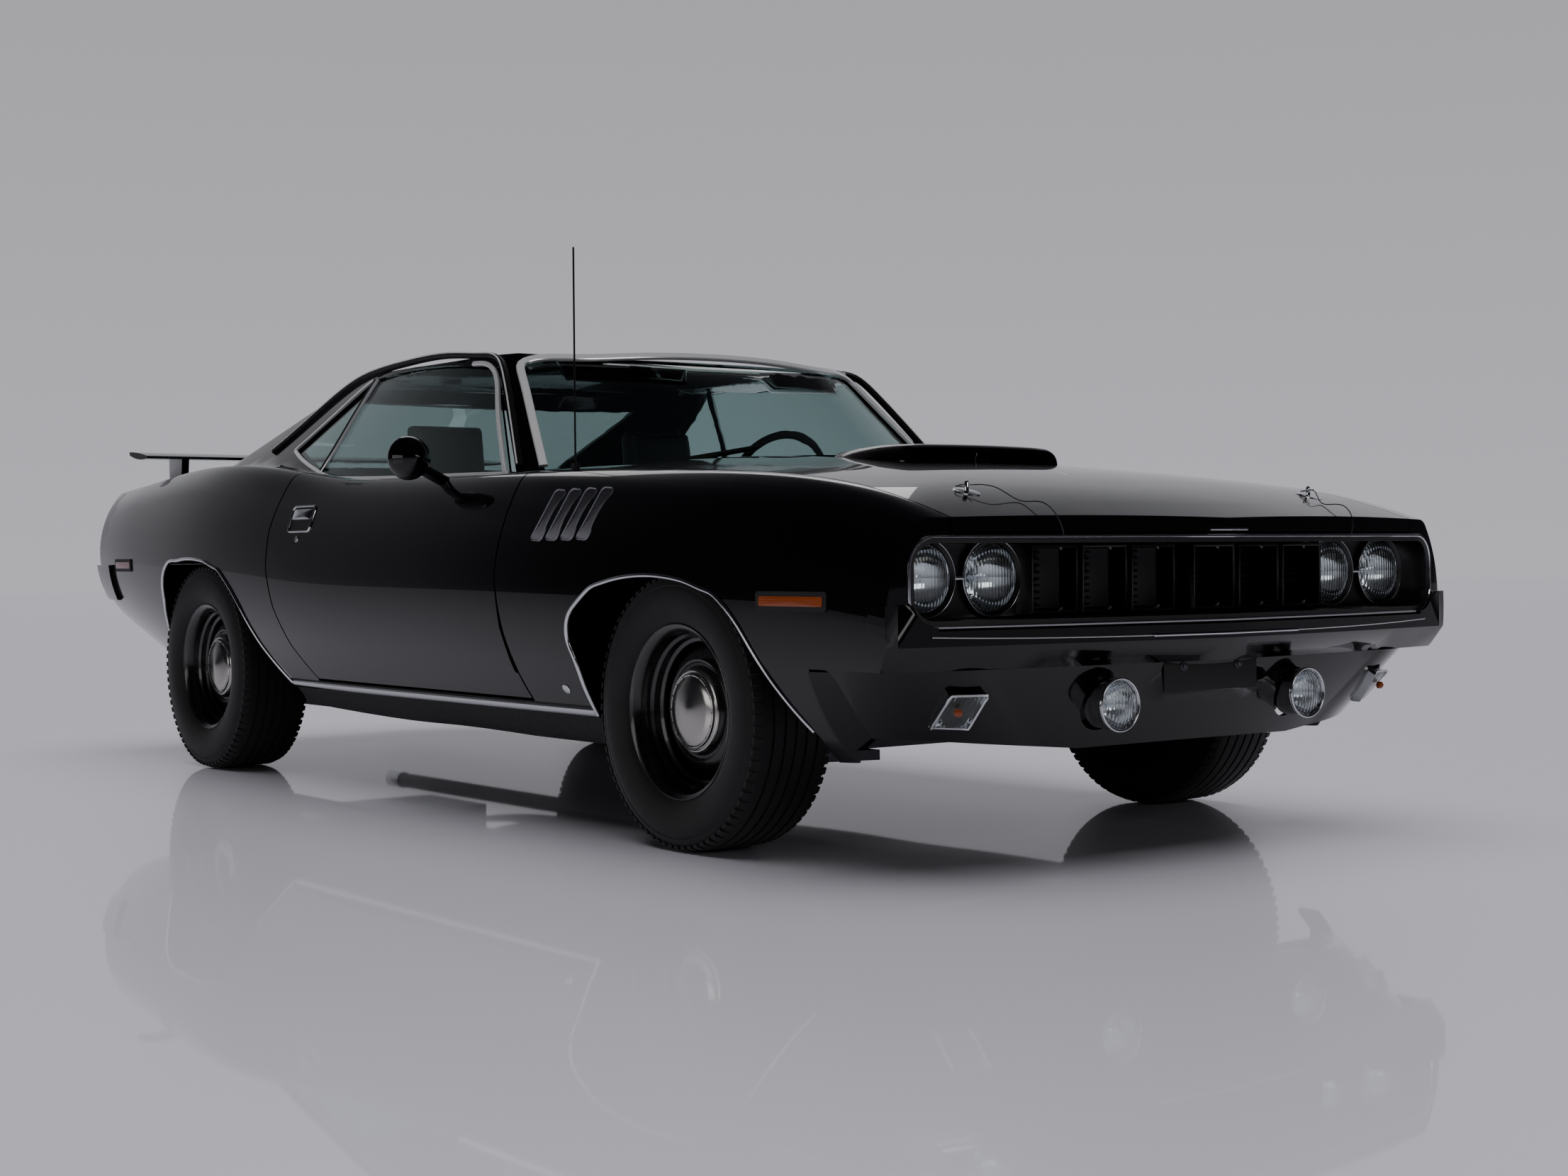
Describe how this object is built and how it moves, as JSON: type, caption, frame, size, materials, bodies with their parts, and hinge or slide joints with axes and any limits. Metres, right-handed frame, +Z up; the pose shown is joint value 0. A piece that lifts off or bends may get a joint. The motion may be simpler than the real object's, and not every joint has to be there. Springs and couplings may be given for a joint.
{
  "type": "two-door muscle car",
  "caption": "Long-hood two-door hardtop coupe in gloss black, with a shaker scoop through the hood, quad round headlamps, steel wheels and a rear wing.",
  "frame": {"origin": "on the floor under the middle of the body's length and width", "axes": "+X forward, +Y to the car's left, +Z up"},
  "size_m": [4.739, 2.052, 1.4699],
  "materials": {
    "body_paint": "high gloss black",
    "underbody": "satin black",
    "glass": "lightly tinted",
    "lamp_glass": "clear",
    "tail_lens": "red lens",
    "marker_lens": "amber lens",
    "tyre": "plain sidewall",
    "wheel_steel": "gloss black",
    "iron": "as cast",
    "chrome": "bright",
    "steel": "dull",
    "black_plastic": "satin black",
    "seat_vinyl": "black vinyl"
  },
  "bodies": {
    "chassis": {"antenna": "chrome", "cowl": "body_paint", "dashboard": "black_plastic", "driveshaft": "steel", "engine": "iron", "engine_bay": "underbody", "exhaust": "steel", "fender_gills": "chrome", "fender_left": "body_paint", "fender_right": "body_paint", "floor_pan": "underbody", "fog_lamps": "lamp_glass", "front_bumper": "body_paint", "front_seats": "seat_vinyl", "front_suspension": "steel", "front_valance": "body_paint", "fuel_tank": "steel", "gearbox": "iron", "grille": "black_plastic", "headlamps": "lamp_glass", "marker_lamps": "marker_lens", "quarter_glass": "glass", "quarter_left": "body_paint", "quarter_right": "body_paint", "rear_axle": "iron", "rear_bumper": "body_paint", "rear_deck": "body_paint", "rear_seat": "seat_vinyl", "rear_valance": "body_paint", "rear_window": "glass", "roof": "body_paint", "shaker_scoop": "body_paint", "steering_column": "black_plastic", "tail_lamps": "tail_lens", "tail_panel": "body_paint", "windshield": "glass"},
    "right_door": {"door_right": "body_paint", "door_glass_right": "glass"},
    "left_door": {"door_left": "body_paint", "door_glass_left": "glass"},
    "hood_panel": {"hood": "body_paint"},
    "deck_lid": {"trunk_lid": "body_paint", "rear_spoiler": "body_paint"},
    "right_knuckle": {"knuckle_right": "iron"},
    "left_knuckle": {"knuckle_left": "iron"},
    "front_right_wheel": {"front_wheel_right": "wheel_steel", "front_tyre_right": "tyre"},
    "front_left_wheel": {"front_wheel_left": "wheel_steel", "front_tyre_left": "tyre"},
    "rear_right_wheel": {"rear_wheel_right": "wheel_steel", "rear_tyre_right": "tyre"},
    "rear_left_wheel": {"rear_wheel_left": "wheel_steel", "rear_tyre_left": "tyre"},
    "hand_wheel": {"steering_wheel": "black_plastic"}
  },
  "joints": [
    {"name": "right_door_hinge", "type": "hinge", "parent": "chassis", "child": "right_door", "pos_m": [0.8, -0.906, 0.6], "axis": [0, 0, 1], "range_deg": [0, 65]},
    {"name": "left_door_hinge", "type": "hinge", "parent": "chassis", "child": "left_door", "pos_m": [0.8, 0.906, 0.6], "axis": [0, 0, -1], "range_deg": [0, 65]},
    {"name": "hood_hinge", "type": "hinge", "parent": "chassis", "child": "hood_panel", "pos_m": [0.668, 0, 0.888], "axis": [0, -1, 0], "range_deg": [0, 45]},
    {"name": "deck_lid_hinge", "type": "hinge", "parent": "chassis", "child": "deck_lid", "pos_m": [-1.5, 0, 0.958], "axis": [0, 1, 0], "range_deg": [0, 50]},
    {"name": "right_steer", "type": "hinge", "parent": "chassis", "child": "right_knuckle", "pos_m": [1.449, -0.68, 0.326], "axis": [0, 0, 1], "range_deg": [-32, 32]},
    {"name": "left_steer", "type": "hinge", "parent": "chassis", "child": "left_knuckle", "pos_m": [1.449, 0.68, 0.326], "axis": [0, 0, 1], "range_deg": [-32, 32]},
    {"name": "front_right_spin", "type": "hinge", "parent": "right_knuckle", "child": "front_right_wheel", "pos_m": [1.449, -0.7585, 0.326], "axis": [0, 1, 0], "continuous": true},
    {"name": "front_left_spin", "type": "hinge", "parent": "left_knuckle", "child": "front_left_wheel", "pos_m": [1.449, 0.7585, 0.326], "axis": [0, 1, 0], "continuous": true},
    {"name": "rear_right_spin", "type": "hinge", "parent": "chassis", "child": "rear_right_wheel", "pos_m": [-1.293, -0.771, 0.336], "axis": [0, 1, 0], "continuous": true},
    {"name": "rear_left_spin", "type": "hinge", "parent": "chassis", "child": "rear_left_wheel", "pos_m": [-1.293, 0.771, 0.336], "axis": [0, 1, 0], "continuous": true},
    {"name": "steering_wheel_spin", "type": "hinge", "parent": "chassis", "child": "hand_wheel", "pos_m": [0.262, 0.37, 0.862], "axis": [-0.9491, 0, 0.3149], "range_deg": [-540, 540]}
  ],
  "couplings": [
    {"joint": "right_steer", "follows": "left_steer", "ratio": 1},
    {"joint": "steering_wheel_spin", "follows": "left_steer", "ratio": 16}
  ]
}
